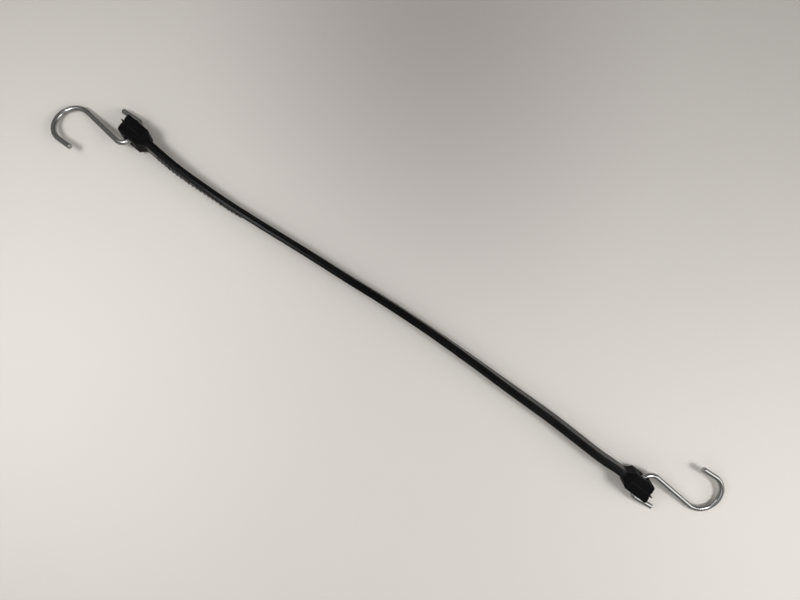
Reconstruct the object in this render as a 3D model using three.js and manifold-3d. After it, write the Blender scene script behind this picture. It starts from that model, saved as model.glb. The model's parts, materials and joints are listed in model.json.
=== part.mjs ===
// Moulded rubber tie-down strap with a wire S-hook in the eye at each end, lying on a table.
// Millimetres, +Z up, +X along the strap. The table is the plane z = 0.
import * as THREE from "three";
import { mergeVertices } from "three/addons/utils/BufferGeometryUtils.js";
import Module from "manifold-3d";

// Strap section
const STRAP_THICKNESS = 8;
const STRAP_WIDTH = 19;
const STRAP_CORNER = 1.8;

// Eye lug, with lengths measured along the strap from the axis of its eye
const LUG_THICKNESS = 19;
const LUG_WIDTH = 26;
const LUG_CORNER = 2;
const LUG_END = 12.5;
const LUG_END_ROUND = 2.6;
const LUG_END_EDGE = 2.5;
const LUG_END_SKEW = THREE.MathUtils.degToRad(10);
const END_GROOVE_WIDTH = 7;
const END_GROOVE_DEPTH = 2.5;
const LUG_SHOULDER = 11.7;
const NECK_LENGTH = 8;
const NECK_CURVE = 1.4;
const EYE_DIAMETER = 9;
const EYE_MOUTH_ROUND = 2.5;

// S-hook, one bent wire
const WIRE_DIAMETER = 5.6;
const LEG_CLEARANCE = 1.1;
const LEG_BEND_RADIUS = 6;
const LEG_LENGTH = 21.2;
const LEG_CLOSING = THREE.MathUtils.degToRad(3.8);
const SHANK_CLEARANCE = 3.9;
const SHANK_LENGTH = 48;
const SHANK_SLANT = THREE.MathUtils.degToRad(5.2);
const HOOK_RADIUS = 19.7;
const HOOK_SWEEP = THREE.MathUtils.degToRad(188);
const HOOK_TIP_LENGTH = 16.5;

// Gap at each dividing plane of the moulding
const DIVIDING_GAP = 0.3;

// How each end lies on the table: its eye in plan, angles in degrees, how far the wire is bent askew
// to the eye that it crosses, the radius of its bend into the shank, and how far it has slid along the eye
const LEFT_END = {
  side: -1, x: -308, y: 4.1, heading: -6.2, lean: 13, pitch: 14, askew: 11, shankBend: 9.5, slid: 0.3,
};
const RIGHT_END = {
  side: 1, x: 306.9, y: -4.5, heading: -3.4, lean: 11, pitch: 12.5, askew: 11, shankBend: 11.8, slid: 0,
};
const SETTLING_LENGTH = 95;

// Route of the strap between its necks: x, y and the lean of its section, chosen by hand
const ROUTE = [
  [-257, -1.4, -10],
  [-225, -2.4, -6],
  [-190, -2.2, -2.5],
  [-150, -0.7, 0],
  [-100, 1.4, 0],
  [-50, 3.1, 3.2],
  [0, 5, 4.2],
  [50, 5.4, 4.7],
  [100, 4.4, 8],
  [150, 2.7, 12],
  [200, 1.2, 14],
  [235, -1.1, 14.5],
  [262, -2.9, 13.5],
];

// Fineness of the facets
const CORNER_STEPS = 2;
const NECK_STEPS = 6;
const END_STEPS = 5;
const EYE_SIDES = 24;
const MOUTH_STEPS = 4;
const STRAP_STEPS = 48;
const WIRE_SIDES = 10;
const WIRE_STEPS = 72;

const { degToRad, lerp, clamp } = THREE.MathUtils;
const wireRadius = WIRE_DIAMETER / 2;
const eyeRadius = EYE_DIAMETER / 2;
const neckPlane = LUG_SHOULDER + NECK_LENGTH;

const rubber = () => new THREE.MeshStandardMaterial({ color: 0x161617, roughness: 0.55, metalness: 0 });
const zincWire = () => new THREE.MeshStandardMaterial({ color: 0xb9bbbd, roughness: 0.3, metalness: 1 });

const wasm = await Module();
wasm.setup();

function solidOf(geometry) {
  const bare = geometry.clone();
  bare.deleteAttribute("normal");
  bare.deleteAttribute("uv");
  const merged = mergeVertices(bare, 1e-4);
  return new wasm.Manifold(
    new wasm.Mesh({
      numProp: 3,
      vertProperties: new Float32Array(merged.attributes.position.array),
      triVerts: new Uint32Array(merged.index.array),
    }),
  );
}

function geometryOf(solid) {
  const mesh = solid.getMesh();
  const geometry = new THREE.BufferGeometry();
  geometry.setAttribute("position", new THREE.BufferAttribute(mesh.vertProperties, 3));
  geometry.setIndex(new THREE.BufferAttribute(mesh.triVerts, 1));
  return geometry;
}

// Rounded rectangle, counter-clockwise, u across the thickness and v across the width
function sectionPoints(halfThickness, halfWidth, corner) {
  const points = [];
  const centres = [[1, 1], [-1, 1], [-1, -1], [1, -1]];
  centres.forEach(([su, sv], quarter) => {
    for (let step = 0; step <= CORNER_STEPS; step += 1) {
      const angle = (quarter + step / CORNER_STEPS) * (Math.PI / 2);
      const u = su * (halfThickness - corner) + corner * Math.cos(angle);
      const v = sv * (halfWidth - corner) + corner * Math.sin(angle);
      points.push([u, v]);
    }
  });
  return points;
}

// Closed skin over a row of rings that run along the direction u cross v
function loft(rings) {
  const count = rings[0].length;
  const positions = rings.flat().flatMap((point) => point.toArray());
  const index = [];
  for (let i = 0; i + 1 < rings.length; i += 1) {
    for (let j = 0; j < count; j += 1) {
      const next = (j + 1) % count;
      const a = i * count + j;
      const b = i * count + next;
      index.push(a, b, b + count, a, b + count, a + count);
    }
  }
  const last = (rings.length - 1) * count;
  for (let j = 1; j + 1 < count; j += 1) {
    index.push(0, j + 1, j);
    index.push(last, last + j, last + j + 1);
  }
  const geometry = new THREE.BufferGeometry();
  geometry.setAttribute("position", new THREE.Float32BufferAttribute(positions, 3));
  geometry.setIndex(index);
  return geometry;
}

// How far a round of the given radius has fallen away at a distance along it
const roundFall = (radius, along) => radius - Math.sqrt(Math.max(0, radius ** 2 - Math.max(0, along) ** 2));

// Section of the lug at a distance outward from its eye: full block, concave neck, rounded end
function lugSection(x) {
  const neck = clamp((-x - LUG_SHOULDER) / NECK_LENGTH, 0, 1);
  const share = (1 - neck) ** NECK_CURVE;
  const endEdge = roundFall(LUG_END_EDGE, x - (LUG_END - LUG_END_EDGE));
  const endRound = roundFall(LUG_END_ROUND, x - (LUG_END - LUG_END_ROUND));
  const halfThickness = lerp(STRAP_THICKNESS, LUG_THICKNESS, share) / 2 - endEdge;
  const halfWidth = lerp(STRAP_WIDTH, LUG_WIDTH, share) / 2 - endRound;
  return sectionPoints(halfThickness, halfWidth, lerp(STRAP_CORNER, LUG_CORNER, share));
}

function lugStations() {
  const stations = [];
  for (let step = 0; step < NECK_STEPS; step += 1) {
    stations.push(-neckPlane + (NECK_LENGTH * step) / NECK_STEPS);
  }
  stations.push(-LUG_SHOULDER);
  for (let step = 0; step <= END_STEPS; step += 1) {
    const angle = (step / END_STEPS) * (Math.PI / 2);
    stations.push(LUG_END - LUG_END_ROUND * (1 - Math.sin(angle)));
  }
  return stations;
}

// The eye: a straight bore with rounded mouths, turned about the lug's y axis
function eyeCutter() {
  const face = LUG_THICKNESS / 2;
  const mouth = [];
  for (let step = 0; step <= MOUTH_STEPS; step += 1) {
    const along = (EYE_MOUTH_ROUND * step) / MOUTH_STEPS;
    mouth.push([eyeRadius + roundFall(EYE_MOUTH_ROUND, along), face - EYE_MOUTH_ROUND + along]);
  }
  const beyond = face + EYE_MOUTH_ROUND;
  const upper = [...mouth, [eyeRadius + EYE_MOUTH_ROUND, beyond], [0, beyond]];
  const lower = upper.map(([radius, y]) => [radius, -y]).reverse();
  const profile = [...lower, ...upper].map(([radius, y]) => new THREE.Vector2(radius, y));
  return new THREE.LatheGeometry(profile, EYE_SIDES);
}

// The end of the lug is cut askew, longer on the side of the hook's leg
const skewedX = (x, y) => (x < LUG_END - LUG_END_ROUND ? x : x - Math.tan(LUG_END_SKEW) * y);

// The V groove across the end face, where the two halves of the mould met
function endGrooveCutter() {
  const slope = END_GROOVE_WIDTH / 2 / END_GROOVE_DEPTH;
  const beyond = LUG_END + END_GROOVE_DEPTH;
  const half = 2 * END_GROOVE_DEPTH * slope;
  const outline = new THREE.Shape();
  outline.moveTo(LUG_END - END_GROOVE_DEPTH, 0);
  outline.lineTo(skewedX(beyond, -half), -half);
  outline.lineTo(skewedX(beyond, half), half);
  outline.closePath();
  const depth = LUG_WIDTH;
  return new THREE.ExtrudeGeometry(outline, { depth, bevelEnabled: false }).translate(0, 0, -depth / 2);
}

function lugGeometry() {
  const ringAt = (x) => lugSection(x).map(([u, v]) => new THREE.Vector3(skewedX(x, u), u, v));
  const rings = lugStations().map(ringAt);
  const block = solidOf(loft(rings));
  return geometryOf(block.subtract(solidOf(eyeCutter())).subtract(solidOf(endGrooveCutter())));
}

// Centre of a bend at a distance y along the eye, into which the wire runs from its stretch in the eye
function eyeBendCentre(radius, y, askew) {
  const along = (radius * Math.sin(askew) - y) / Math.cos(askew);
  return new THREE.Vector2(along * Math.sin(askew) + radius * Math.cos(askew), y);
}

// Middle line of the S-hook in its own plane: x outward and y along the eye, from its middle in the eye
function hookPath(end) {
  const askew = degToRad(end.askew);
  const legOffset = LUG_THICKNESS / 2 + wireRadius + LEG_CLEARANCE;
  const shankOffset = LUG_THICKNESS / 2 + wireRadius + SHANK_CLEARANCE;
  const legCentre = eyeBendCentre(LEG_BEND_RADIUS, LEG_BEND_RADIUS - legOffset, askew);
  const shankCentre = eyeBendCentre(end.shankBend, shankOffset - end.shankBend, askew);
  const eyeAngle = Math.PI + askew;
  const eyeExit = polar(shankCentre, end.shankBend, eyeAngle);
  const legAngle = -Math.PI / 2 + LEG_CLOSING;
  const shankAngle = Math.PI / 2 - SHANK_SLANT;
  const legStart = polar(legCentre, LEG_BEND_RADIUS, legAngle);
  const legTip = polar(legStart, LEG_LENGTH, LEG_CLOSING);
  const shankStart = polar(shankCentre, end.shankBend, shankAngle);
  const shankEnd = polar(shankStart, SHANK_LENGTH, -SHANK_SLANT);
  const centre = polar(shankEnd, HOOK_RADIUS, shankAngle);
  const from = shankAngle - Math.PI;
  const hookEnd = polar(centre, HOOK_RADIUS, from + HOOK_SWEEP);
  const hookTip = polar(hookEnd, HOOK_TIP_LENGTH, from + HOOK_SWEEP + Math.PI / 2);
  const path = new THREE.Path();
  path.moveTo(legTip.x, legTip.y);
  path.lineTo(legStart.x, legStart.y);
  path.absarc(legCentre.x, legCentre.y, LEG_BEND_RADIUS, legAngle, eyeAngle - 2 * Math.PI, true);
  path.lineTo(eyeExit.x, eyeExit.y);
  path.absarc(shankCentre.x, shankCentre.y, end.shankBend, eyeAngle, shankAngle, true);
  path.lineTo(shankEnd.x, shankEnd.y);
  path.absarc(centre.x, centre.y, HOOK_RADIUS, from, from + HOOK_SWEEP, false);
  path.lineTo(hookTip.x, hookTip.y);
  return { path, centre };
}

function polar(from, distance, angle) {
  return new THREE.Vector2(from.x + distance * Math.cos(angle), from.y + distance * Math.sin(angle));
}

class WireLine extends THREE.Curve {
  constructor(path) {
    super();
    this.path = path;
  }

  getPoint(t, target = new THREE.Vector3()) {
    const point = this.path.getPoint(t);
    return target.set(point.x, point.y, 0);
  }
}

function hookGeometry(path) {
  const round = new THREE.Shape();
  for (let side = 0; side < WIRE_SIDES; side += 1) {
    const angle = (side / WIRE_SIDES) * Math.PI * 2;
    const x = wireRadius * Math.cos(angle);
    const y = wireRadius * Math.sin(angle);
    if (side === 0) round.moveTo(x, y);
    else round.lineTo(x, y);
  }
  return new THREE.ExtrudeGeometry(round, { steps: WIRE_STEPS, extrudePath: new WireLine(path) });
}

// Height of an end's eye at which its pitched, leaning hook touches the table with the low side of its bend
function restingEyeHeight(end) {
  const { centre } = hookPath(end);
  const along = Math.sin(degToRad(end.pitch)) * Math.cos(degToRad(end.lean));
  const across = Math.sin(degToRad(end.lean));
  const bendDrop = HOOK_RADIUS * Math.hypot(along, across);
  return wireRadius + bendDrop + centre.x * along - (centre.y + end.slid) * across;
}

// Half height of the strap section when it leans
function leaningHalfHeight(lean) {
  const across = (STRAP_THICKNESS / 2 - STRAP_CORNER) * Math.abs(Math.sin(degToRad(lean)));
  const upright = (STRAP_WIDTH / 2 - STRAP_CORNER) * Math.cos(degToRad(lean));
  return across + upright + STRAP_CORNER;
}

// Point of an end's middle line at a distance inward from its eye
function inward(end, distance) {
  const heading = degToRad(end.heading);
  const run = -end.side * distance;
  return [end.x + run * Math.cos(heading), end.y + run * Math.sin(heading), end.side * end.lean];
}

function strapGeometry() {
  const stations = [
    inward(LEFT_END, neckPlane + DIVIDING_GAP),
    inward(LEFT_END, neckPlane + STRAP_THICKNESS),
    ...ROUTE,
    inward(RIGHT_END, neckPlane + STRAP_THICKNESS),
    inward(RIGHT_END, neckPlane + DIVIDING_GAP),
  ];
  const line = new THREE.CatmullRomCurve3(stations.map(([x, y]) => new THREE.Vector3(x, y, 0)));
  const length = line.getLength();
  const rings = [];
  for (let step = 0; step <= STRAP_STEPS; step += 1) {
    const share = step / STRAP_STEPS;
    const point = line.getPointAt(share);
    const tangent = endTangent(step) ?? line.getTangentAt(share);
    const lean = leanAt(stations, point.x);
    const nearEnd = share < 0.5 ? LEFT_END : RIGHT_END;
    const neckLift = restingEyeHeight(nearEnd) - leaningHalfHeight(nearEnd.lean);
    const settled = clamp((Math.min(share, 1 - share) * length) / SETTLING_LENGTH, 0, 1);
    const lift = neckLift * (1 - settled) ** 2 * (1 + 2 * settled);
    point.z = lift + leaningHalfHeight(lean);
    rings.push(leaningRing(point, tangent, degToRad(lean)));
  }
  return loft(rings);
}

// The strap leaves each neck square to it
function endTangent(step) {
  if (step === 0) return headingVector(LEFT_END);
  if (step === STRAP_STEPS) return headingVector(RIGHT_END);
  return undefined;
}

function headingVector(end) {
  return new THREE.Vector3(Math.cos(degToRad(end.heading)), Math.sin(degToRad(end.heading)), 0);
}

function leanAt(stations, x) {
  const next = stations.findIndex((station) => station[0] >= x);
  if (next < 1) return next === 0 ? stations[0][2] : stations.at(-1)[2];
  const [x0, , lean0] = stations[next - 1];
  const [x1, , lean1] = stations[next];
  return lerp(lean0, lean1, (x - x0) / (x1 - x0));
}

function leaningRing(centre, tangent, lean) {
  const level = new THREE.Vector3(-tangent.y, tangent.x, 0).normalize();
  const across = level.clone().multiplyScalar(Math.cos(lean)).setZ(Math.sin(lean));
  const upright = level.clone().multiplyScalar(-Math.sin(lean)).setZ(Math.cos(lean));
  const section = sectionPoints(STRAP_THICKNESS / 2, STRAP_WIDTH / 2, STRAP_CORNER);
  return section.map(([u, v]) => centre.clone().addScaledVector(across, u).addScaledVector(upright, v));
}

function namedMesh(name, geometry, material) {
  const mesh = new THREE.Mesh(geometry, material);
  mesh.name = name;
  return mesh;
}

// One end of the strap: its lug, and its hook hanging in the eye
function strapEnd(label, end) {
  const place = new THREE.Group();
  place.position.set(end.x, end.y, restingEyeHeight(end));
  place.rotation.z = degToRad(end.heading) + (end.side < 0 ? Math.PI : 0);
  const lean = new THREE.Group();
  lean.rotation.x = degToRad(end.lean);
  const wire = namedMesh(`s_hook_${label}`, hookGeometry(hookPath(end).path), zincWire());
  wire.position.y = end.slid;
  wire.rotation.y = degToRad(end.pitch);
  lean.add(namedMesh(`eye_lug_${label}`, lugGeometry(), rubber()), wire);
  place.add(lean);
  return place;
}

const bungee = new THREE.Group();
bungee.add(strapEnd("left", LEFT_END));
bungee.add(namedMesh("strap_web", strapGeometry(), rubber()));
bungee.add(strapEnd("right", RIGHT_END));

export default bungee;
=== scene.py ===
"""Moulded rubber tie-down strap with a wire S-hook in the eye at each end, dressed as it lies on a table."""
import json
import math

import bmesh
import bpy
import numpy as np
from bpy.props import FloatProperty, FloatVectorProperty, IntProperty, PointerProperty
from mathutils import Matrix, Vector


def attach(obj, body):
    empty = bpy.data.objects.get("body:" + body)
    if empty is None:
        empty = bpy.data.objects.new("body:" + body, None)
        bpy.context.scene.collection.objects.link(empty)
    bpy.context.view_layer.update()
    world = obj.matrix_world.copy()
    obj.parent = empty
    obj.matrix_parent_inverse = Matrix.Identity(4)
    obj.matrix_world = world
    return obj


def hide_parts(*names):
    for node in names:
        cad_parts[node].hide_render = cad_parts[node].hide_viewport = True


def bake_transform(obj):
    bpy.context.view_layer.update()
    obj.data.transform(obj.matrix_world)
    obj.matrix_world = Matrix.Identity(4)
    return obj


bl_info = {
    "name": "Rubber tie-down strap",
    "version": (1, 0, 0),
    "blender": (4, 5, 0),
    "location": "3D View > Sidebar > Strap",
    "description": "Builds a moulded rubber strap with two wire S-hooks around its packed solids",
    "category": "Object",
}

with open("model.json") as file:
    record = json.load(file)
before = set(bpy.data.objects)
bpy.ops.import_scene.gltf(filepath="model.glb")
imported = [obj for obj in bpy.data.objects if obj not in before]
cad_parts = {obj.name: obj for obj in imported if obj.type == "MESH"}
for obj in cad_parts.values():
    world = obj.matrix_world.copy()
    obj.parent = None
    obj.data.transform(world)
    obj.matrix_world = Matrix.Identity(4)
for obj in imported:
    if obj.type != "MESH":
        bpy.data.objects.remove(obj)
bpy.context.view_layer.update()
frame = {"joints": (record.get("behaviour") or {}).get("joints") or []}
JOINTS = {joint["name"]: joint for joint in frame["joints"]}
MM = 0.001
UP = Vector((0, 0, 1))

# How the picture is turned against the strap: its right and its up, seen from above
PICTURE_TURN = math.radians(34)
TO_PICTURE = Matrix.Rotation(PICTURE_TURN, 3, "Z")

# Camera straight above the table: its place and its lens in millimetres
CAMERA_PLACE = (5.8, 14.7, 668.2)
CAMERA_LENS = 29.25
CAMERA_SENSOR = 36

# Route of the strap between its necks: x, y in millimetres and the lean of its section in degrees
ROUTE = [
    (-257, -1.4, -10),
    (-225, -2.4, -6),
    (-190, -2.2, -2.5),
    (-150, -0.7, 0),
    (-100, 1.4, 0),
    (-50, 3.1, 3.2),
    (0, 5, 4.2),
    (50, 5.4, 4.7),
    (100, 4.4, 8),
    (150, 2.7, 12),
    (200, 1.2, 14),
    (235, -1.1, 14.5),
    (262, -2.9, 13.5),
]

# How the hook of each end lies: its pitch and how far its wire is bent askew to the eye in degrees, and the
# radius of its bend into the shank and how far it has slid along the eye in millimetres
HOOK_LIE = {
    "left": {"side": -1, "pitch": 14, "askew": 11, "shank_bend": 9.5, "slid": 0.3},
    "right": {"side": 1, "pitch": 12.5, "askew": 11, "shank_bend": 11.8, "slid": 0},
}

# How the neck falls from the lug to the strap, as a power, and how far its end is sunk in the strap
NECK_CURVE = 1.4
NECK_SINK = 0.35 * MM

# Points up the torn flash and along the line of the ribs
FLASH_STEPS = 31
RIB_LINE_POINTS = 40

# Bend between neighbouring points of the lug's skin by which its scuffed edges are measured
SCUFF_BEND = 0.015

# How much narrower the wire is at its cut ends
CUT_NARROWING = 0.17

# Table: half its width in metres, and how far it lies under the strap
TABLE_REACH = 30.0
TABLE_DROP = 0.1 * MM

# Soft painted shadow on the table: middle, from under the camera, and reach, in millimetres in the picture's
# axes
PAINTED_SHADOW_MIDDLE = (30, 290)
PAINTED_SHADOW_REACH = (290, 400)

# Soft lamps: place, aim and width in metres, in the picture's axes, spread in degrees and power in watts
LAMPS = {
    "left_lamp": {
        "place": (-0.455, 0.06, 0.75),
        "aim": (-0.4, -0.12, 0),
        "width": 0.24,
        "spread": 115,
        "power": 1.6,
    },
    "right_lamp": {
        "place": (0.6, -0.22, 0.75),
        "aim": (0.4, -0.26, 0),
        "width": 0.24,
        "spread": 115,
        "power": 1.6,
    },
    "front_lamp": {
        "place": (0, -0.75, 0.8),
        "aim": (0, -0.35, 0),
        "width": 0.7,
        "spread": 180,
        "power": 1.3,
    },
}

# Light of the room: at the horizon, added on the walls, taken off overhead and taken off at the back
HORIZON_LIGHT = 0.1
WALL_LIGHT = 0.21
OVERHEAD_SHADE = 0.18
BACK_SHADE = 0.05

# Bright patches of the room: direction in the picture's axes, cosines of its two edges, and strength
PATCHES = [
    {"aim": (0.83, -0.23, 0.51), "edges": (0.925, 0.965), "strength": 2.5},
    {"aim": (-0.43, 0.34, 0.84), "edges": (0.965, 0.985), "strength": 1.6},
]


def size(name, millimetres, description):
    """A length that a user may change."""
    length = {"default": millimetres * MM, "min": 0, "unit": "LENGTH", "precision": 5}
    return FloatProperty(name=name, description=description, **length)


def station(name, millimetres, description):
    """A place along the strap that a user may change."""
    return FloatProperty(name=name, description=description, default=millimetres * MM, unit="LENGTH")


def turn(name, degrees, description):
    """An angle that a user may change."""
    return FloatProperty(name=name, description=description, default=math.radians(degrees), unit="ROTATION")


def colour(name, value, description):
    """A colour that a user may change."""
    tone = {"default": value, "size": 3, "min": 0, "max": 1, "subtype": "COLOR"}
    return FloatVectorProperty(name=name, description=description, **tone)


class RubberSizes(bpy.types.PropertyGroup):
    """Sizes of the rubber moulding."""

    strap_thickness: size("Strap thickness", 8, "Thickness of the flat strap")
    strap_width: size("Strap width", 19, "Width of the flat strap, upright as it lies")
    strap_corner: size("Strap corner", 1.5, "Radius of the strap's long edges")
    lug_thickness: size("Lug thickness", 19, "Thickness of the eye lug along its eye")
    lug_width: size("Lug width", 26, "Width of the eye lug")
    lug_corner: size("Lug corner", 1.6, "Radius of the lug's long edges")
    lug_end: size("Lug end", 12.5, "From the axis of the eye to the lug's outer end")
    lug_end_round: size("End round", 2.6, "Radius of the lug's end across its width")
    lug_end_edge: size("End edge", 2.5, "Radius of the lug's end across its thickness")
    lug_shoulder: size("Shoulder", 11.7, "From the axis of the eye to where the neck begins")
    neck_length: size("Neck length", 8, "Length over which the lug narrows to the strap")
    neck_overlap: size("Neck overlap", 1.5, "How far the strap and the lug run into each other at the neck")
    eye_diameter: size("Eye diameter", 9, "Bore of the eye")
    eye_mouth: size("Eye mouth", 2.5, "Radius of the eye's mouths")
    groove_width: size("Groove width", 7, "Width of the V groove across the lug's end")
    groove_depth: size("Groove depth", 2.5, "Depth of the V groove across the lug's end")
    ridge_width: size("Ridge width", 1.2, "Width of the parting ridge along the narrow edges")
    ridge_height: size("Ridge height", 0.3, "Height of the parting ridge along the narrow edges")
    end_skew: turn("End skew", 10, "How far the lug's end is turned out of square, longer on the leg's side")
    flash_length: size("Flash length", 3.6, "How far the torn flash stands out of the groove")
    flash_thickness: size("Flash thickness", 3.4, "Thickness of the torn flash")
    settling: size("Settling length", 95, "Length over which the strap comes down from its lug to the table")
    ring_step: size("Ring step", 2, "Distance between the sections of the strap's skin")
    skin_voxel: size("Lug skin", 0.3, "Fineness of the lug's skin")


class GripRibSizes(bpy.types.PropertyGroup):
    """Sizes of the row of plain raised ribs on one face of the strap."""

    start: station("Start", -274, "Where the row begins along the strap")
    end: station("End", -176, "Where the row ends along the strap")
    count: IntProperty(name="Ribs", description="Number of ribs in the row", default=22, min=2)
    half_width: size("Half width", 1.1, "Half the width of the widest rib")
    half_height: size("Half height", 5.8, "Half the height of the ribs")
    stand: size("Stand", 1.55, "Depth of the thickest rib, with its foot in the face")
    drop: size("Drop", 0.6, "How far the row runs below the middle of the face")


class WireSizes(bpy.types.PropertyGroup):
    """Sizes of the bent wire of an S-hook."""

    diameter: size("Wire diameter", 5.6, "Diameter of the wire")
    leg_clearance: size("Leg clearance", 1.1, "Gap between the closing leg and the lug")
    leg_bend: size("Leg bend", 6, "Radius of the bend into the closing leg")
    leg_length: size("Leg length", 21.2, "Straight length of the closing leg")
    leg_closing: turn("Leg closing", 3.8, "How far the leg turns in towards the lug")
    shank_clearance: size("Shank clearance", 3.9, "Gap between the shank and the lug")
    shank_length: size("Shank length", 48, "Straight length of the shank")
    shank_slant: turn("Shank slant", 5.2, "How far the shank slants across the strap's line")
    hook_radius: size("Hook radius", 19.7, "Radius of the open hook at the middle of its wire")
    hook_sweep: turn("Hook sweep", 188, "How far the open hook turns")
    tip_length: size("Tip length", 16.5, "Straight length of the hook's tip")
    end_chamfer: size("End chamfer", 0.55, "Length of the worn edge at each cut end")
    step: size("Step", 0.7, "Distance between the sections of the wire's skin")
    sides: IntProperty(name="Sides", description="Sides of the wire's skin", default=28, min=8)


class FinishColours(bpy.types.PropertyGroup):
    """Colours of the finishes."""

    rubber: colour("Rubber", (0.0026, 0.0026, 0.0029), "Black of the moulded rubber")
    bloom: colour("Bloom", (0.022, 0.0215, 0.021), "Grey bloom and dust on the rubber")
    # Grey of the ribs' outer faces: partly rubbed wear, partly painted glints
    rubbed_and_glint: colour("Rubbed", (0.16, 0.157, 0.15), "Grey of the ribs' rubbed outer faces")
    zinc: colour("Zinc", (0.34, 0.34, 0.337), "Bright plated wire")
    dull_zinc: colour("Dull zinc", (0.27, 0.27, 0.266), "Duller patches of the plating")
    cut_steel: colour("Cut steel", (0.36, 0.355, 0.35), "Bare steel of the cut ends")
    table: colour("Table", (0.66, 0.63, 0.595), "Pale table top")
    # Colour at the middle of the soft painted shadow on the table
    painted_table_shadow: colour("Table shade", (0.469, 0.437, 0.418), "Middle of the soft shade on the table")


class StrapProperties(bpy.types.PropertyGroup):
    """Everything that a user may change."""

    rubber: PointerProperty(type=RubberSizes)
    ribs: PointerProperty(type=GripRibSizes)
    wire: PointerProperty(type=WireSizes)
    colours: PointerProperty(type=FinishColours)


class Value:
    """A number socket that can be used in Python expressions."""

    def __init__(self, bench, socket):
        self.bench = bench
        self.socket = socket

    def _math(self, operation, first, second):
        node = self.bench.add("ShaderNodeMath", {"operation": operation}, {0: first, 1: second})
        return Value(self.bench, node.outputs[0])

    def __add__(self, other):
        return self._math("ADD", self, other)

    def __radd__(self, other):
        return self._math("ADD", other, self)

    def __sub__(self, other):
        return self._math("SUBTRACT", self, other)

    def __rsub__(self, other):
        return self._math("SUBTRACT", other, self)

    def __mul__(self, other):
        return self._math("MULTIPLY", self, other)

    def __rmul__(self, other):
        return self._math("MULTIPLY", other, self)


class Bench:
    """Adds nodes to one tree."""

    def __init__(self, tree):
        self.tree = tree

    def add(self, kind, settings=None, inputs=None):
        """A node of that kind, with its settings made first and then its sockets filled or linked."""
        node = self.tree.nodes.new(kind)
        for name, value in (settings or {}).items():
            setattr(node, name, value)
        for name, value in (inputs or {}).items():
            self.feed(node.inputs[name], value)
        return node

    def feed(self, socket, value):
        """Links a socket, or sets its value."""
        if isinstance(value, Value):
            value = value.socket
        if isinstance(value, bpy.types.NodeSocket):
            self.tree.links.new(value, socket)
        else:
            socket.default_value = value

    def value(self, node, output=0):
        """A node's output as a value for expressions."""
        return Value(self, node.outputs[output])

    def noise(self, place, grain, detail=3.0, roughness=0.55):
        """Noise whose grains are about that many metres across."""
        inputs = {"Vector": place, "Scale": 1 / grain, "Detail": detail, "Roughness": roughness}
        return self.value(self.add("ShaderNodeTexNoise", None, inputs), "Fac")

    def ramp(self, value, low, high):
        """0 below low and 1 above high."""
        inputs = {"Value": value, "From Min": low, "From Max": high}
        return self.value(self.add("ShaderNodeMapRange", {"clamp": True}, inputs))

    def mix(self, factor, first, second):
        """Two colours mixed."""
        node = self.add("ShaderNodeMix", {"data_type": "RGBA"}, {"Factor": factor, 6: first, 7: second})
        return node.outputs[2]

    def stretched(self, place, scale):
        """Coordinates stretched along an axis."""
        return self.add("ShaderNodeMapping", None, {"Vector": place, "Scale": scale}).outputs["Vector"]


def opaque(tone):
    """A colour property as four numbers."""
    return (*tone, 1)


def new_material(name):
    """An empty node material, with its bench and its shader."""
    material = bpy.data.materials.new(name)
    material.use_nodes = True
    material.node_tree.nodes.clear()
    bench = Bench(material.node_tree)
    shader = bench.add("ShaderNodeBsdfPrincipled")
    bench.add("ShaderNodeOutputMaterial", None, {"Surface": shader.outputs["BSDF"]})
    return material, bench, shader


def moulded_rubber(name, colours, roughness, specular):
    """Black moulded rubber with fine grain, flow lines, grey bloom, scuffed edges, and ribs whose outer faces
    are painted lighter grey, partly rubbed wear and partly painted glints.
    """
    material, bench, shader = new_material(name)
    place = bench.add("ShaderNodeTexCoord").outputs["Object"]
    edge = bench.value(bench.add("ShaderNodeAttribute", {"attribute_name": "scuffed_edge"}), "Fac")
    rib = bench.value(bench.add("ShaderNodeAttribute", {"attribute_name": "rubbed_and_glint_rib"}), "Fac")
    cloud = bench.noise(place, 22 * MM)
    flow = bench.noise(bench.stretched(place, (0.07, 1, 1)), 1.6 * MM)
    grain = bench.noise(place, 0.45 * MM, 2)
    specks = bench.ramp(bench.noise(place, 1.3 * MM, 2), 0.62, 0.74)
    dust = bench.ramp(cloud, 0.45, 0.75) * 0.12 + bench.ramp(flow, 0.5, 0.8) * 0.08 + specks * 0.08
    worn = edge * bench.ramp(bench.noise(place, 3 * MM), 0.35, 0.7) * 0.22
    black = bench.mix(dust + worn, opaque(colours.rubber), opaque(colours.bloom))
    # The ribs' outer faces turn grey: partly rubbed wear, partly painted glints on their edges
    rubbed_and_glint = bench.ramp(rib, 0.2, 0.85) * bench.ramp(bench.noise(place, 2.4 * MM, 2), 0.35, 0.6)
    bench.feed(shader.inputs["Base Color"], bench.mix(rubbed_and_glint, black, opaque(colours.rubbed_and_glint)))
    bench.feed(shader.inputs["Roughness"], roughness + cloud * 0.08 + specks * 0.08 - edge * 0.02)
    height = grain * 0.6 + flow * 0.5 + specks * 0.3
    bump = bench.add("ShaderNodeBump", None, {"Strength": 0.25, "Distance": 0.10 * MM, "Height": height})
    bench.feed(shader.inputs["Normal"], bump.outputs["Normal"])
    shader.inputs["Specular IOR Level"].default_value = specular
    return material


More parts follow.
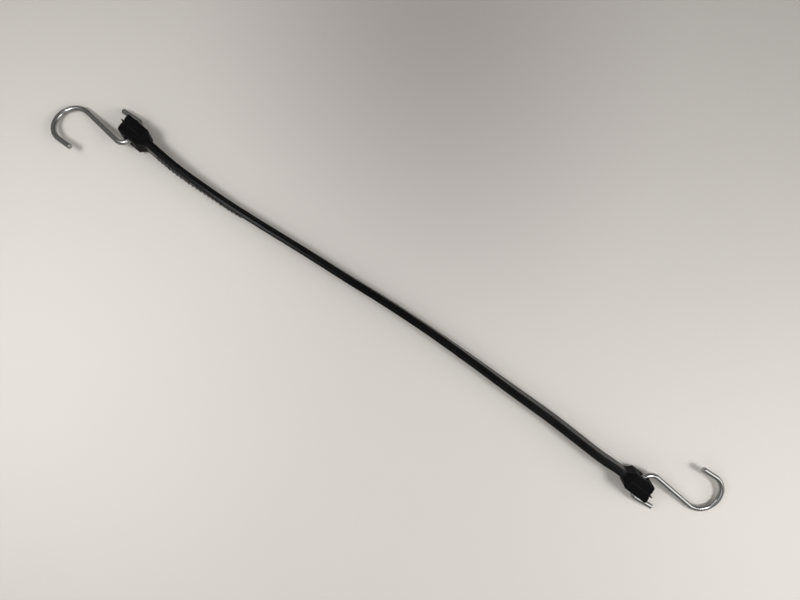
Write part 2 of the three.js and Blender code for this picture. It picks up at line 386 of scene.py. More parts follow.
def plated_wire(colours):
    """Bright zinc on drawn steel wire: fine lines along the wire, duller patches and bare cut ends."""
    material, bench, shader = new_material("zinc_plated_wire")
    place = bench.add("ShaderNodeTexCoord").outputs["Object"]
    round_place = bench.add("ShaderNodeAttribute", {"attribute_name": "round_place"}).outputs["Vector"]
    cut = bench.value(bench.add("ShaderNodeAttribute", {"attribute_name": "cut_end"}), "Fac")
    drawn = bench.noise(bench.stretched(round_place, (1, 1, 0.02)), 0.35 * MM, 3)
    patches = bench.ramp(bench.noise(place, 6 * MM, 4, 0.6), 0.42, 0.68)
    pits = bench.ramp(bench.noise(place, 0.9 * MM, 2), 0.66, 0.76)
    dull = patches * 0.35 + pits * 0.25 + cut * 0.5
    plating = bench.mix(dull, opaque(colours.zinc), opaque(colours.dull_zinc))
    bare = bench.ramp(cut, 0.96, 1)
    bench.feed(shader.inputs["Base Color"], bench.mix(bare, plating, opaque(colours.cut_steel)))
    bench.feed(shader.inputs["Roughness"], 0.22 + patches * 0.03 + pits * 0.05 + drawn * 0.03 + cut * 0.15)
    height = drawn * 0.7 - pits * 0.5
    bump = bench.add("ShaderNodeBump", None, {"Strength": 0.06, "Distance": 0.02 * MM, "Height": height})
    bench.feed(shader.inputs["Normal"], bump.outputs["Normal"])
    shader.inputs["Metallic"].default_value = 1
    return material


def table_top(colours):
    """Pale smooth laminate, with a soft painted shadow towards the top of the picture."""
    material, bench, shader = new_material("table_top")
    place = bench.add("ShaderNodeTexCoord").outputs["Object"]
    mottle = bench.noise(place, 260 * MM, 2)
    darker = tuple(0.95 * tone for tone in colours.table)
    pale = bench.mix(mottle, opaque(colours.table), opaque(darker))
    middle = Vector((*CAMERA_PLACE[:2], 0)) + TO_PICTURE @ Vector((*PAINTED_SHADOW_MIDDLE, 0))
    across, along = PAINTED_SHADOW_REACH
    inputs = {"Vector": place, "Location": MM * middle, "Rotation": (0, 0, PICTURE_TURN)}
    inputs["Scale"] = (across * MM, along * MM, 1)
    apart = bench.add("ShaderNodeMapping", {"vector_type": "TEXTURE"}, inputs).outputs["Vector"]
    # Painted shadow: the table's colour darkens smoothly towards the middle of a soft oval patch
    distance = bench.add("ShaderNodeVectorMath", {"operation": "LENGTH"}, {0: apart})
    near = bench.ramp(bench.value(distance, "Value"), 1, 0)
    shade = near * near * (3 - 2 * near)
    bench.feed(shader.inputs["Base Color"], bench.mix(shade, pale, opaque(colours.painted_table_shadow)))
    shader.inputs["Roughness"].default_value = 0.6
    shader.inputs["Specular IOR Level"].default_value = 0.2
    return material


def linked(name, mesh):
    """A new object in the scene."""
    made = bpy.data.objects.new(name, mesh)
    bpy.context.scene.collection.objects.link(made)
    return made


def settled_mesh(made):
    """The object's shown shape as a plain mesh, in place of its modifiers."""
    graph = bpy.context.evaluated_depsgraph_get()
    shown = made.evaluated_get(graph)
    mesh = bpy.data.meshes.new_from_object(shown, preserve_all_data_layers=True, depsgraph=graph)
    made.modifiers.clear()
    made.data = mesh
    return mesh


def finish_skin(mesh, sharp_degrees):
    """Smooth shading, with edges kept where faces meet at a large angle."""
    mesh.shade_smooth()
    mesh.set_sharp_from_angle(angle=math.radians(sharp_degrees))


class EndFrame:
    """Where an end of the strap lies: x outward, y along the eye, z across the lug, from the eye's middle."""

    def __init__(self, label):
        lie = HOOK_LIE[label]
        joint = JOINTS[f"{label}_hook_swing"]
        self.label = label
        self.side = lie["side"]
        self.slid = lie["slid"] * MM
        self.pitch = math.radians(lie["pitch"])
        self.askew = math.radians(lie["askew"])
        self.shank_bend = lie["shank_bend"] * MM
        self.along_eye = Vector(joint["axis"]).normalized()
        self.outward = self.along_eye.cross(UP).normalized()
        self.across = self.outward.cross(self.along_eye)
        self.eye = Vector(joint["pos_m"])
        self.lean = math.atan2(self.along_eye.z, math.hypot(self.along_eye.x, self.along_eye.y))

    def lug_matrix(self):
        """From the lug's own axes to the frame."""
        return axes_matrix(self.outward, self.along_eye, self.across, self.eye)

    def hook_matrix(self):
        """From the hook's own plane to the frame."""
        out = math.cos(self.pitch) * self.outward - math.sin(self.pitch) * self.across
        middle = self.eye + self.slid * self.along_eye
        return axes_matrix(out, self.along_eye, out.cross(self.along_eye), middle)

    def inward(self, distance):
        """Point of the strap's middle line at a distance inward from the eye: x, y and lean."""
        point = self.eye - distance * self.outward
        return point.x, point.y, self.side * self.lean


def axes_matrix(x, y, z, origin):
    """A placing matrix from three axes and an origin."""
    matrix = Matrix((x, y, z)).transposed().to_4x4()
    matrix.translation = origin
    return matrix


def rounded_section(half_thickness, half_width, corner, rubber):
    """Rounded rectangle with the parting ridge on its narrow edges: u across thickness and v across width."""
    corner_steps, face_steps = 6, 6
    ridge = np.linspace(-1, 1, 9)
    lift = rubber.ridge_height * np.cos(ridge * math.pi / 2) ** 2
    half_width = half_width - rubber.ridge_height
    points = []
    for quarter, (su, sv) in enumerate(((1, 1), (-1, 1), (-1, -1), (1, -1))):
        for step in range(corner_steps + 1):
            angle = (quarter + step / corner_steps) * math.pi / 2
            u = su * (half_thickness - corner) + corner * math.cos(angle)
            v = sv * (half_width - corner) + corner * math.sin(angle)
            points.append((u, v))
        if quarter in (0, 2):
            crest = zip(ridge * rubber.ridge_width / 2, half_width + lift)
            points += [(-su * u, sv * v) for u, v in crest]
        else:
            flat = half_width - corner
            levels = [1 - 2 * k / face_steps for k in range(1, face_steps)]
            points += [(su * half_thickness, sv * flat * level) for level in levels]
    return np.array(points)


def section_edges(half_thickness, half_width, corner, rubber):
    """How much each point of the section belongs to a rounded long edge, from 0 to 1."""
    points = rounded_section(half_thickness, half_width, corner, rubber)
    du = np.abs(points[:, 0]) - (half_thickness - corner)
    dv = np.abs(points[:, 1]) - (half_width - rubber.ridge_height - corner)
    return np.clip(np.minimum(du, dv) / (0.3 * corner), 0, 1)


def loft(name, rings):
    """A closed skin over a row of rings."""
    rings = np.asarray(rings)
    rows, count = rings.shape[:2]
    faces = [tuple(range(count))[::-1], tuple((rows - 1) * count + j for j in range(count))]
    for i in range(rows - 1):
        for j in range(count):
            a, b = i * count + j, i * count + (j + 1) % count
            faces.append((a, b, b + count, a + count))
    mesh = bpy.data.meshes.new(name)
    mesh.from_pydata(rings.reshape(-1, 3).tolist(), [], faces)
    outward = bmesh.new()
    outward.from_mesh(mesh)
    bmesh.ops.recalc_face_normals(outward, faces=outward.faces)
    outward.to_mesh(mesh)
    outward.free()
    return mesh


def eased(value):
    """A smooth step from 0 to 1."""
    held = np.clip(value, 0, 1)
    return held * held * (3 - 2 * held)


def round_fall(radius, along):
    """How far a round of that radius has fallen away at a distance along it."""
    return radius - math.sqrt(max(0.0, radius**2 - max(0.0, along) ** 2))


class StrapLine:
    """The strap's middle line: its points, and the level direction and lean of its section at each."""

    def __init__(self, properties, ends):
        self.rubber = properties.rubber
        neck = self.rubber.lug_shoulder + self.rubber.neck_length
        start = neck - self.rubber.neck_overlap
        guide = neck + self.rubber.strap_thickness
        route = [(x * MM, y * MM, math.radians(lean)) for x, y, lean in ROUTE]
        left, right = ends["left"], ends["right"]
        stations = [left.inward(start), left.inward(guide), *route, right.inward(guide), right.inward(start)]
        self.stations = np.array(stations)
        self.ends = ends
        plan = smooth_line(self.stations[:, :2], self.rubber.ring_step)
        run = np.concatenate([[0], np.cumsum(np.linalg.norm(np.diff(plan, axis=0), axis=1))])
        lean = np.interp(plan[:, 0], self.stations[:, 0], self.stations[:, 2])
        lift = self.lift(run, run[-1], start)
        self.lean = lean
        self.points = np.column_stack([plan, lift + self.half_height(lean)])
        self.tangents = np.gradient(plan, run, axis=0)
        self.tangents[0] = -np.array(left.outward[:2])
        self.tangents[-1] = np.array(right.outward[:2])
        self.tangents /= np.linalg.norm(self.tangents, axis=1)[:, None]

    def half_height(self, lean):
        """Half the height of the section when it leans."""
        corner = self.rubber.strap_corner
        across = (self.rubber.strap_thickness / 2 - corner) * np.abs(np.sin(lean))
        return across + (self.rubber.strap_width / 2 - corner) * np.cos(lean) + corner

    def lift(self, run, length, start):
        """How far the strap is held off the table near its lugs."""
        neck = self.rubber.lug_shoulder + self.rubber.neck_length
        lift = np.zeros_like(run)
        for end, distance in ((self.ends["left"], run), (self.ends["right"], length - run)):
            held = end.eye.z - self.half_height(end.lean)
            settled = np.clip((distance + start - neck) / self.rubber.settling, 0, 1)
            near = distance <= length / 2
            lift[near] = (held * (1 - settled) ** 2 * (1 + 2 * settled))[near]
        return lift

    def axes(self):
        """Across and upright directions of the leaning section at each point."""
        level = np.column_stack([-self.tangents[:, 1], self.tangents[:, 0], np.zeros(len(self.tangents))])
        cos, sin = np.cos(self.lean)[:, None], np.sin(self.lean)[:, None]
        up = np.array([0.0, 0.0, 1.0])
        return level * cos + up * sin, up * cos - level * sin

    def place(self, x, u, v):
        """Point of the strap at a place along x, and u and v across its section."""
        across, upright = self.axes()
        skin = self.points + u * across + v * upright
        return np.array([np.interp(x, self.points[:, 0], skin[:, k]) for k in range(3)])


def smooth_line(stations, step):
    """A smooth curve through given points, in even steps."""
    chord = np.concatenate([[0], np.cumsum(np.sqrt(np.linalg.norm(np.diff(stations, axis=0), axis=1)))])
    slope = np.gradient(stations, chord, axis=0)
    fine = np.linspace(0, chord[-1], 3000)
    i = np.clip(np.searchsorted(chord, fine, side="right") - 1, 0, len(chord) - 2)
    span = (chord[i + 1] - chord[i])[:, None]
    t = (fine - chord[i])[:, None] / span
    line = (2 * t**3 - 3 * t**2 + 1) * stations[i] + (t**3 - 2 * t**2 + t) * span * slope[i]
    line += (3 * t**2 - 2 * t**3) * stations[i + 1] + (t**3 - t**2) * span * slope[i + 1]
    run = np.concatenate([[0], np.cumsum(np.linalg.norm(np.diff(line, axis=0), axis=1))])
    even = np.linspace(0, run[-1], max(2, round(run[-1] / step) + 1))
    return np.column_stack([np.interp(even, run, line[:, k]) for k in range(2)])


def store(mesh, name, values, kind="FLOAT"):
    """Keeps a value on each point of a mesh."""
    attribute = mesh.attributes.new(name, kind, "POINT")
    field = "vector" if kind == "FLOAT_VECTOR" else "value"
    attribute.data.foreach_set(field, np.ravel(values).astype(np.float32))


def new_tree(name, sizes):
    """A geometry tree with named size inputs, its bench and its group nodes."""
    tree = bpy.data.node_groups.new(name, "GeometryNodeTree")
    tree.interface.new_socket("Geometry", in_out="INPUT", socket_type="NodeSocketGeometry")
    tree.interface.new_socket("Geometry", in_out="OUTPUT", socket_type="NodeSocketGeometry")
    for label, kind in sizes:
        tree.interface.new_socket(label, in_out="INPUT", socket_type=kind)
    bench = Bench(tree)
    return tree, bench, bench.add("NodeGroupInput").outputs, bench.add("NodeGroupOutput").inputs


def run_tree(made, tree, values):
    """Runs a tree on an object and keeps its result as the object's plain mesh."""
    modifier = made.modifiers.new(tree.name, "NODES")
    modifier.node_group = tree
    inputs = [item for item in tree.interface.items_tree if item.in_out == "INPUT"]
    identifiers = {item.name: item.identifier for item in inputs}
    for label, value in values.items():
        modifier[identifiers[label]] = value
    return settled_mesh(made)


def wire_sweep_tree():
    """Sweeps a round wire along the object's line, narrower where the line says so."""
    sizes = [("Wire radius", "NodeSocketFloat"), ("Sides", "NodeSocketInt"), ("Finish", "NodeSocketMaterial")]
    tree, bench, given, out = new_tree("wire_sweep", sizes)
    line = bench.add("GeometryNodeMeshToCurve", None, {"Mesh": given["Geometry"]}).outputs["Curve"]
    inputs = {"Resolution": given["Sides"], "Radius": given["Wire radius"]}
    circle = bench.add("GeometryNodeCurvePrimitiveCircle", None, inputs)
    spot = bench.add("GeometryNodeInputPosition").outputs["Position"]
    inputs = {"Geometry": circle.outputs["Curve"], "Name": "profile_place", "Value": spot}
    settings = {"data_type": "FLOAT_VECTOR", "domain": "POINT"}
    profile = bench.add("GeometryNodeStoreNamedAttribute", settings, inputs).outputs["Geometry"]
    girth = bench.add("GeometryNodeInputNamedAttribute", {"data_type": "FLOAT"}, {"Name": "girth"})
    inputs = {"Curve": line, "Profile Curve": profile, "Scale": girth.outputs["Attribute"], "Fill Caps": True}
    skin = bench.add("GeometryNodeCurveToMesh", None, inputs).outputs["Mesh"]
    plain = bench.add("GeometryNodeRealizeInstances", None, {"Geometry": skin}).outputs["Geometry"]
    finished = bench.add("GeometryNodeSetMaterial", None, {"Geometry": plain, "Material": given["Finish"]})
    bench.feed(out["Geometry"], finished.outputs["Geometry"])
    return tree


def grip_rib_tree():
    """Sets a row of plain tapered ribs of one height along the object's line, out of the strap's face."""
    sizes = [("Ribs", "NodeSocketInt"), ("Rib size", "NodeSocketVector"), ("Least share", "NodeSocketVector")]
    tree, bench, given, out = new_tree("grip_rib_row", [*sizes, ("Finish", "NodeSocketMaterial")])
    line = bench.add("GeometryNodeMeshToCurve", None, {"Mesh": given["Geometry"]}).outputs["Curve"]
    inputs = {"Curve": line, "Count": given["Ribs"]}
    row = bench.add("GeometryNodeResampleCurve", {"mode": "COUNT"}, inputs).outputs["Curve"]
    tangent = bench.add("GeometryNodeInputTangent").outputs["Tangent"]
    settings = {"data_type": "FLOAT_VECTOR"}
    outward = bench.add("GeometryNodeInputNamedAttribute", settings, {"Name": "outward"}).outputs["Attribute"]
    stood = bench.add("FunctionNodeAlignRotationToVector", {"axis": "Z"}, {"Vector": outward})
    inputs = {"Rotation": stood.outputs["Rotation"], "Vector": tangent}
    faced = bench.add("FunctionNodeAlignRotationToVector", {"axis": "X", "pivot_axis": "Z"}, inputs)
    corner = math.sqrt(2)
    inputs = {"Vertices": 4, "Radius Top": 0.55 * corner, "Radius Bottom": corner, "Depth": 1.0}
    block = bench.add("GeometryNodeMeshCone", None, inputs).outputs["Mesh"]
    inputs = {"Geometry": block, "Rotation": (0, 0, math.pi / 4), "Translation": (0, 0, -0.15)}
    squared = bench.add("GeometryNodeTransform", None, inputs).outputs["Geometry"]
    spot = bench.add("GeometryNodeInputPosition").outputs["Position"]
    height = bench.add("ShaderNodeSeparateXYZ", None, {"Vector": spot}).outputs["Z"]
    # Keeps how far out each point of a rib stands, for the grey that is partly rubbed wear and partly painted
    # glints
    inputs = {"Geometry": squared, "Name": "rubbed_and_glint_rib", "Value": height}
    settings = {"data_type": "FLOAT", "domain": "POINT"}
    marked = bench.add("GeometryNodeStoreNamedAttribute", settings, inputs).outputs["Geometry"]
    inputs = {"Min": given["Least share"], "Max": (1, 1, 1), "Seed": 7}
    uneven = bench.add("FunctionNodeRandomValue", {"data_type": "FLOAT_VECTOR"}, inputs).outputs["Value"]
    inputs = {0: given["Rib size"], 1: uneven}
    scale = bench.add("ShaderNodeVectorMath", {"operation": "MULTIPLY"}, inputs).outputs["Vector"]
    inputs = {"Points": row, "Instance": marked, "Rotation": faced.outputs["Rotation"], "Scale": scale}
    ribs = bench.add("GeometryNodeInstanceOnPoints", None, inputs).outputs["Instances"]
    plain = bench.add("GeometryNodeRealizeInstances", None, {"Geometry": ribs}).outputs["Geometry"]
    finished = bench.add("GeometryNodeSetMaterial", None, {"Geometry": plain, "Material": given["Finish"]})
    bench.feed(out["Geometry"], finished.outputs["Geometry"])
    return tree


def strap_ends():
    """The frames of the two ends."""
    return {label: EndFrame(label) for label in HOOK_LIE}


class STRAP_OT_camera(bpy.types.Operator):
    """Look straight down on the strap, turned as in the photograph"""

    bl_idname = "strap.camera"
    bl_label = "Camera"

    def execute(self, context):
        data = bpy.data.cameras.new("overhead_camera")
        data.lens = CAMERA_LENS
        data.sensor_width = CAMERA_SENSOR
        data.clip_start = 0.01
        camera = linked("overhead_camera", data)
        camera.location = MM * Vector(CAMERA_PLACE)
        camera.rotation_euler = (0, 0, PICTURE_TURN)
        context.scene.camera = camera
        return {"FINISHED"}


class STRAP_OT_finishes(bpy.types.Operator):
    """Mix the finishes of the rubber and the wire"""

    bl_idname = "strap.finishes"
    bl_label = "Finishes"

    def execute(self, context):
        colours = context.scene.tie_down.colours
        moulded_rubber("satin_rubber", colours, roughness=0.24, specular=0.08)
        moulded_rubber("matt_rubber", colours, roughness=0.5, specular=0.04)
        plated_wire(colours)
        return {"FINISHED"}


class STRAP_OT_rubber_web(bpy.types.Operator):
    """Build the flat strap between its two lugs, with its parting ridge and its row of grip ribs"""

    bl_idname = "strap.rubber_web"
    bl_label = "Rubber strap"

    def execute(self, context):
        properties = context.scene.tie_down
        rubber = properties.rubber
        ends = strap_ends()
        line = StrapLine(properties, ends)
        half = (rubber.strap_thickness / 2, rubber.strap_width / 2, rubber.strap_corner)
        section = rounded_section(*half, rubber)
        across, upright = line.axes()
        sideways = section[None, :, :1] * across[:, None]
        upward = section[None, :, 1:] * upright[:, None]
        mesh = loft("rubber_strap", line.points[:, None] + sideways + upward)
        store(mesh, "scuffed_edge", np.tile(section_edges(*half, rubber), len(line.points)))
        strap = linked("rubber_strap", mesh)
        mesh.materials.append(bpy.data.materials["satin_rubber"])
        finish_skin(mesh, 50)
        self.add_ribs(strap, line, properties)
        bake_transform(strap)
        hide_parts("strap_web")
        return {"FINISHED"}

    def add_ribs(self, strap, line, properties):
        """Sets the row of ribs on the strap's face and joins it to the strap."""
        ribs = properties.ribs
        rubber = properties.rubber
        spots = np.linspace(ribs.start, ribs.end, RIB_LINE_POINTS)
        half = rubber.strap_thickness / 2
        face = np.array([line.place(x, -half, -ribs.drop) for x in spots])
        proud = np.array([line.place(x, -half - 1 * MM, -ribs.drop) for x in spots])
        mesh = bpy.data.meshes.new("grip_rib_line")
        mesh.from_pydata(face.tolist(), [(i, i + 1) for i in range(len(spots) - 1)], [])
        store(mesh, "outward", (proud - face) / MM, "FLOAT_VECTOR")
        row = linked("grip_ribs", mesh)
        values = {
            "Ribs": ribs.count,
            "Rib size": (ribs.half_width, ribs.half_height, ribs.stand),
            "Least share": (0.8, 1, 0.7),
            "Finish": bpy.data.materials["satin_rubber"],
        }
        made = run_tree(row, grip_rib_tree(), values)
        store(strap.data, "rubbed_and_glint_rib", np.zeros(len(strap.data.vertices)))
        finish_skin(made, 60)
        joined = bmesh.new()
        joined.from_mesh(strap.data)
        joined.from_mesh(made)
        joined.to_mesh(strap.data)
        joined.free()
        bpy.data.objects.remove(row)


class STRAP_OT_eye_lugs(bpy.types.Operator):
    """Build the thick eye lug at each end of the strap"""

    bl_idname = "strap.eye_lugs"
    bl_label = "Eye lugs"

    def execute(self, context):
        properties = context.scene.tie_down
        rubber = properties.rubber
        for label, end in strap_ends().items():
            lug = linked(f"rubber_lug_{label}", loft("lug_block", self.rings(rubber)))
            cutters = [self.eye_cutter(rubber), self.groove_cutter(rubber)]
            for cutter in cutters:
                cut = lug.modifiers.new(cutter.name, "BOOLEAN")
                cut.operation = "DIFFERENCE"
                cut.solver = "EXACT"
                cut.object = cutter
            settled_mesh(lug)
            for cutter in cutters:
                bpy.data.objects.remove(cutter)
            self.skew_end(lug.data, rubber)
            self.add_flash(lug, rubber)
            skin = lug.modifiers.new("skin", "REMESH")
            skin.mode = "VOXEL"
            skin.voxel_size = rubber.skin_voxel
            soft = lug.modifiers.new("soft", "SMOOTH")
            soft.factor = 0.5
            soft.iterations = 3
            mesh = settled_mesh(lug)
            mesh.name = lug.name
            self.mark_edges(mesh)
            mesh.transform(end.lug_matrix())
            mesh.materials.clear()
            mesh.materials.append(bpy.data.materials["matt_rubber"])
            finish_skin(mesh, 80)
            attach(lug, "strap" if label == "left" else "right_end")
            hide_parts(f"eye_lug_{label}")
        return {"FINISHED"}

    def rings(self, rubber):
        """Sections of the lug along its own x, from inside the strap's end to the lug's outer end."""
        neck_plane = rubber.lug_shoulder + rubber.neck_length
        inner = -neck_plane - 0.4 * rubber.neck_overlap
        neck = np.linspace(-neck_plane, -rubber.lug_shoulder, 28)
        body = np.linspace(-rubber.lug_shoulder, rubber.lug_end - rubber.lug_end_round, 40)[1:-1]
        turned = np.linspace(0, math.pi / 2, 22)
        end = rubber.lug_end - rubber.lug_end_round * (1 - np.sin(turned))
        rings = []
        for x in [inner, *neck, *body, *end]:
            points = self.section(x, rubber)
            rings.append(np.column_stack([np.full(len(points), x), points]))
        return rings

    def section(self, x, rubber):
        """Section of the lug at a distance outward from its eye: full block, concave neck, rounded end."""
        neck = min(1, max(0, (-x - rubber.lug_shoulder) / rubber.neck_length))
        fill = (1 - neck) ** NECK_CURVE
        sunk = NECK_SINK if x < -(rubber.lug_shoulder + rubber.neck_length) else 0
        edge = round_fall(rubber.lug_end_edge, x - (rubber.lug_end - rubber.lug_end_edge))
        end = round_fall(rubber.lug_end_round, x - (rubber.lug_end - rubber.lug_end_round))
        thickness = rubber.strap_thickness + fill * (rubber.lug_thickness - rubber.strap_thickness)
        width = rubber.strap_width + fill * (rubber.lug_width - rubber.strap_width)
        corner = rubber.strap_corner + fill * (rubber.lug_corner - rubber.strap_corner)
        return rounded_section(thickness / 2 - edge - sunk, width / 2 - end - sunk, corner, rubber)

    def eye_cutter(self, rubber):
        """A straight bore with rounded mouths."""
        radius, face, mouth = rubber.eye_diameter / 2, rubber.lug_thickness / 2, rubber.eye_mouth
        profile = [(radius + round_fall(mouth, k), face - mouth + k) for k in np.linspace(0, mouth, 12)]
        profile.append((radius + mouth, face + mouth))
        profile = [(r, -y) for r, y in profile[::-1]] + profile
        angles = np.linspace(0, 2 * math.pi, 65)[:-1]
        rings = [[(r * math.cos(a), y, -r * math.sin(a)) for a in angles] for r, y in profile]
        return linked("eye", loft("eye", rings))

    def groove_cutter(self, rubber):
        """The V groove across the end, where the halves of the mould met."""
        slope = rubber.groove_width / 2 / rubber.groove_depth
        root, beyond = rubber.lug_end - rubber.groove_depth, rubber.lug_end + rubber.groove_depth
        wide = 2 * rubber.groove_depth * slope
        outline = [(root, 0), (beyond, wide), (beyond, -wide)]
        rings = [[(x, y, z) for x, y in outline] for z in (rubber.lug_width, -rubber.lug_width)]
        return linked("groove", loft("groove", rings))

    def skew_end(self, mesh, rubber):
        """Turns the lug's end out of square, beyond the eye."""
        points = np.zeros(len(mesh.vertices) * 3, np.float32)
        mesh.vertices.foreach_get("co", points)
        points = points.reshape(-1, 3)
        begin, full = 0.8 * rubber.eye_diameter, rubber.lug_end - rubber.groove_depth
        turned = eased((points[:, 0] - begin) / (full - begin)) * math.tan(rubber.end_skew)
        points[:, 0] -= turned * points[:, 1]
        mesh.vertices.foreach_set("co", points.ravel())

    def add_flash(self, lug, rubber):
        """Adds the torn flash that stands in the groove."""
        root = rubber.lug_end - rubber.groove_depth - 0.5 * MM
        edge = rubber.lug_end - 0.4 * rubber.groove_depth
        top = rubber.lug_width / 2 - 0.4 * rubber.lug_end_round
        heights = np.linspace(-top, top, FLASH_STEPS)
        steps = np.arange(FLASH_STEPS)
        torn = 0.5 + 0.3 * np.sin(steps * 2.3) + 0.2 * np.sin(steps * 0.9 + 1.2)
        torn[-4:] = (0.7, 1, 0.9, 0.6)
        thick = rubber.flash_thickness / 2
        rings = []
        for z, tear in zip(heights, torn):
            tip = edge + rubber.flash_length * tear
            lean = -1.1 * MM * tear
            foot = [(root, thick, z), (root, -thick, z)]
            rings.append([*foot, (tip, lean - 0.25 * thick, z), (tip, lean + 0.25 * thick, z)])
        flash = loft("flash", rings)
        joined = bmesh.new()
        joined.from_mesh(lug.data)
        joined.from_mesh(flash)
        bmesh.ops.recalc_face_normals(joined, faces=joined.faces)
        joined.to_mesh(lug.data)
        joined.free()
        bpy.data.meshes.remove(flash)

    def mark_edges(self, mesh):
        """Marks the rounded edges, where neighbouring points of the skin face different ways."""
        normals = np.zeros(len(mesh.vertices) * 3, np.float32)
        mesh.vertex_normals.foreach_get("vector", normals)
        normals = normals.reshape(-1, 3)
        pairs = np.zeros(len(mesh.edges) * 2, np.int32)
        mesh.edges.foreach_get("vertices", pairs)
        first, second = pairs.reshape(-1, 2).T
        bend = 1 - (normals[first] * normals[second]).sum(axis=1)
        sharpest = np.zeros(len(normals))
        np.maximum.at(sharpest, first, bend)
        np.maximum.at(sharpest, second, bend)
        store(mesh, "scuffed_edge", np.clip(sharpest / SCUFF_BEND - 0.3, 0, 1))


class STRAP_OT_wire_hooks(bpy.types.Operator):
    """Bend the wire S-hook of each end"""

    bl_idname = "strap.wire_hooks"
    bl_label = "Wire hooks"

    def execute(self, context):
        properties = context.scene.tie_down
        wire = properties.wire
        finish = bpy.data.materials["zinc_plated_wire"]
        values = {"Wire radius": wire.diameter / 2, "Sides": wire.sides, "Finish": finish}
        tree = wire_sweep_tree()
        for label, end in strap_ends().items():
            hook = linked(f"wire_hook_{label}", self.wire_line(properties, end))
            mesh = run_tree(hook, tree, values)
            mesh.name = hook.name
            self.store_round_place(mesh)
            mesh.transform(end.hook_matrix())
            finish_skin(mesh, 35)
            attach(hook, f"{label}_hook")
            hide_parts(f"s_hook_{label}")
        return {"FINISHED"}

    def plan(self, properties, end):
        """Middle line of the wire in its plane, from its middle in the eye: x outward, y along the eye."""
        wire, rubber = properties.wire, properties.rubber
        radius, face = wire.diameter / 2, rubber.lug_thickness / 2
        leg_angle = -math.pi / 2 + wire.leg_closing
        shank_angle = math.pi / 2 - wire.shank_slant
        leg_side = wire.leg_bend - (face + radius + wire.leg_clearance)
        leg_centre = eye_bend_centre(wire.leg_bend, leg_side, end.askew)
        shank_side = face + radius + wire.shank_clearance - end.shank_bend
        shank_centre = eye_bend_centre(end.shank_bend, shank_side, end.askew)
        leg_start = leg_centre + wire.leg_bend * heading(leg_angle)
        shank_start = shank_centre + end.shank_bend * heading(shank_angle)
        shank_end = shank_start + wire.shank_length * heading(-wire.shank_slant)
        centre = shank_end + wire.hook_radius * heading(shank_angle)
        hook_from = shank_angle - math.pi
        hook_to = hook_from + wire.hook_sweep
        hook_end = centre + wire.hook_radius * heading(hook_to)
        tip = hook_end + wire.tip_length * heading(hook_to + math.pi / 2)
        line = [leg_start + wire.leg_length * heading(wire.leg_closing)]
        line += arc(leg_centre, wire.leg_bend, leg_angle, end.askew - math.pi)
        line += arc(shank_centre, end.shank_bend, math.pi + end.askew, shank_angle)
        line += arc(centre, wire.hook_radius, hook_from, hook_to)
        return np.array([*line, tip])

    def wire_line(self, properties, end):
        """The middle line as a mesh of edges, with its girth and its place along the wire."""
        wire = properties.wire
        plan = self.plan(properties, end)
        run = np.concatenate([[0], np.cumsum(np.linalg.norm(np.diff(plan, axis=0), axis=1))])
        chamfer = wire.end_chamfer * np.linspace(0, 1, 5)
        middle = np.arange(chamfer[-1] + wire.step, run[-1] - chamfer[-1] - wire.step / 2, wire.step)
        along = np.concatenate([chamfer, middle, (run[-1] - chamfer)[::-1]])
        x, y = (np.interp(along, run, plan[:, k]) for k in range(2))
        points = np.column_stack([x, y, 0 * along])
        to_end = np.minimum(along, run[-1] - along)
        worn = np.clip(1 - to_end / wire.end_chamfer, 0, 1)
        mesh = bpy.data.meshes.new("wire_line")
        mesh.from_pydata(points.tolist(), [(i, i + 1) for i in range(len(points) - 1)], [])
        store(mesh, "girth", 1 - CUT_NARROWING * worn**2)
        store(mesh, "along", along)
        store(mesh, "cut_end", worn)
        return mesh

    def store_round_place(self, mesh):
        """Keeps each point's place round and along the wire, for the drawn lines."""
        count = len(mesh.vertices)
        profile = np.zeros(count * 3, np.float32)
        along = np.zeros(count, np.float32)
        mesh.attributes["profile_place"].data.foreach_get("vector", profile)
        mesh.attributes["along"].data.foreach_get("value", along)
        place = np.column_stack([profile.reshape(-1, 3)[:, :2], along])
        store(mesh, "round_place", place, "FLOAT_VECTOR")


def heading(angle):
    """Unit direction in the plane."""
    return np.array([math.cos(angle), math.sin(angle)])


def eye_bend_centre(radius, y, askew):
    """Centre of a bend at a distance y along the eye, into which the wire runs from its stretch there."""
    along = (radius * math.sin(askew) - y) / math.cos(askew)
    return np.array([along * math.sin(askew) + radius * math.cos(askew), y])


def arc(centre, radius, start, end):
    """Points of an arc, about one for each degree and a half."""
    steps = max(2, round(abs(end - start) / math.radians(1.5)))
    return [centre + radius * heading(a) for a in np.linspace(start, end, steps + 1)]


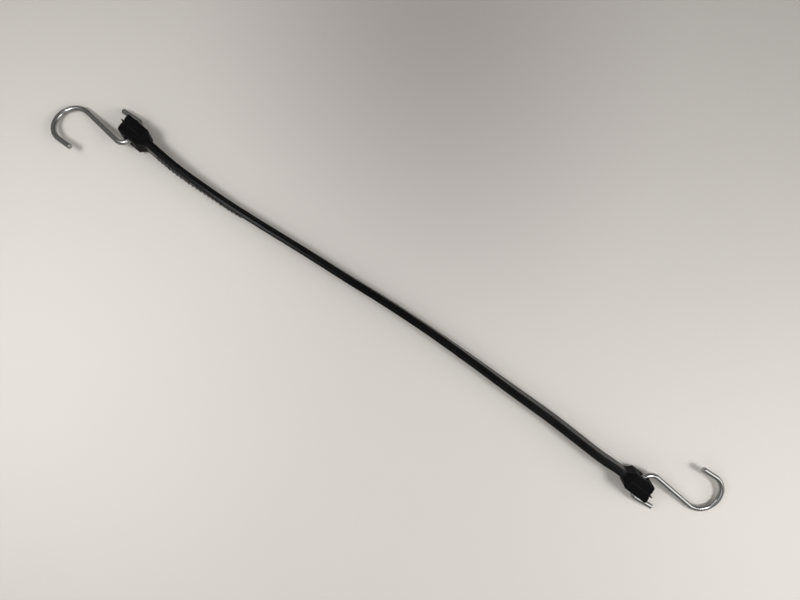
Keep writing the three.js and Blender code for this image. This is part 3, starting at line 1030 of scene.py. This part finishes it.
class STRAP_OT_stage(bpy.types.Operator):
    """Lay the pale table, and light it with three soft lamps and a dim room"""

    bl_idname = "strap.stage"
    bl_label = "Table and light"

    def execute(self, context):
        self.table(context.scene.tie_down.colours)
        for name, settings in LAMPS.items():
            self.lamp(name, **settings)
        self.room(context.scene)
        context.scene.view_settings.view_transform = "Standard"
        return {"FINISHED"}

    def table(self, colours):
        """A wide flat table just under the strap."""
        corners = ((-1, -1), (1, -1), (1, 1), (-1, 1))
        mesh = bpy.data.meshes.new("table")
        points = [(x * TABLE_REACH, y * TABLE_REACH, -TABLE_DROP) for x, y in corners]
        mesh.from_pydata(points, [], [(0, 1, 2, 3)])
        mesh.materials.append(table_top(colours))
        linked("table", mesh)

    def lamp(self, name, place, aim, width, spread, power):
        """A square soft lamp aimed at a point on the table."""
        place, aim = TO_PICTURE @ Vector(place), TO_PICTURE @ Vector(aim)
        data = bpy.data.lights.new(name, "AREA")
        data.shape = "SQUARE"
        data.size = width
        data.spread = math.radians(spread)
        data.energy = power
        lamp = linked(name, data)
        lamp.location = place
        lamp.rotation_euler = (aim - place).to_track_quat("-Z", "Y").to_euler()

    def room(self, scene):
        """A grey room, brightest halfway up its walls, with two bright patches that the wires show."""
        world = bpy.data.worlds.new("room")
        world.use_nodes = True
        world.node_tree.nodes.clear()
        bench = Bench(world.node_tree)
        direction = bench.add("ShaderNodeTexCoord").outputs["Generated"]

        def toward(aim, outer, inner):
            inputs = {0: direction, 1: TO_PICTURE @ Vector(aim).normalized()}
            facing = bench.add("ShaderNodeVectorMath", {"operation": "DOT_PRODUCT"}, inputs)
            return bench.ramp(bench.value(facing, "Value"), outer, inner)

        strength = HORIZON_LIGHT + WALL_LIGHT * toward(UP, 0.1, 0.5) - OVERHEAD_SHADE * toward(UP, 0.78, 0.96)
        strength = strength - BACK_SHADE * toward((0, 1, 0), -0.35, 0.65)
        for patch in PATCHES:
            strength = strength + patch["strength"] * toward(patch["aim"], *patch["edges"])
        shade = bench.add("ShaderNodeBackground", None, {"Color": (1, 0.99, 0.97, 1), "Strength": strength})
        bench.add("ShaderNodeOutputWorld", None, {"Surface": shade.outputs["Background"]})
        scene.world = world


STEPS = ("camera", "finishes", "rubber_web", "eye_lugs", "wire_hooks", "stage")


class STRAP_PT_sidebar(bpy.types.Panel):
    """Lists the steps that build the strap"""

    bl_idname = "STRAP_PT_sidebar"
    bl_label = "Tie-down strap"
    bl_space_type = "VIEW_3D"
    bl_region_type = "UI"
    bl_category = "Strap"

    def draw(self, context):
        for step in STEPS:
            self.layout.operator(f"strap.{step}")
        for group in ("rubber", "ribs", "wire", "colours"):
            box = self.layout.box()
            box.label(text=group.capitalize())
            settings = getattr(context.scene.tie_down, group)
            for name in settings.__annotations__:
                box.prop(settings, name)


CLASSES = (
    RubberSizes,
    GripRibSizes,
    WireSizes,
    FinishColours,
    StrapProperties,
    STRAP_OT_camera,
    STRAP_OT_finishes,
    STRAP_OT_rubber_web,
    STRAP_OT_eye_lugs,
    STRAP_OT_wire_hooks,
    STRAP_OT_stage,
    STRAP_PT_sidebar,
)


def register():
    for cls in CLASSES:
        bpy.utils.register_class(cls)
    bpy.types.Scene.tie_down = PointerProperty(type=StrapProperties)


def unregister():
    del bpy.types.Scene.tie_down
    for cls in reversed(CLASSES):
        bpy.utils.unregister_class(cls)


def main():
    register()
    for step in STEPS:
        getattr(bpy.ops.strap, step)()


if __name__ == "__main__":
    main()
